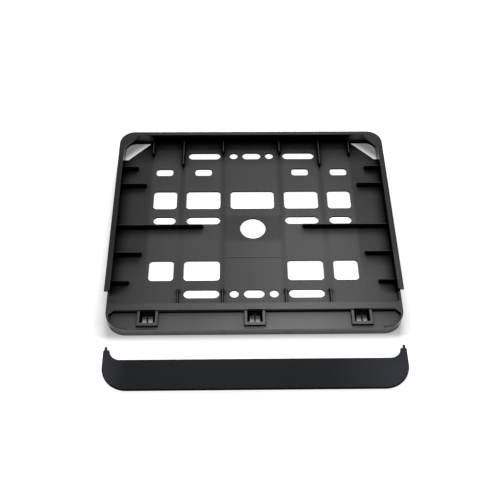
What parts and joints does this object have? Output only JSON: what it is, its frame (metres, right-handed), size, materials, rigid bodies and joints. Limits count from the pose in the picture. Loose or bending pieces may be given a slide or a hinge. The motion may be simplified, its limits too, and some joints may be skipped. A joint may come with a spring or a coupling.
{
  "type": "number plate holder",
  "caption": "Flat moulded tray that carries a motorcycle number plate on ribs, with slots for its screws and a clip-on closing strip shown taken off.",
  "frame": {"origin": "on the axis of the centre hole, at the plane of the tray's back edge", "axes": "+Z out of the tray's face, square to the plate; +Y towards the plate's upper end; +X to the right, seen from the front"},
  "size_m": [0.198, 0.2136, 0.01],
  "materials": {
    "tray_plastic": "matt, finely grained",
    "strip_plastic": "satin, smooth"
  },
  "bodies": {
    "root": {"holder_base": "tray_plastic", "closing_strip": "strip_plastic"}
  },
  "joints": []
}
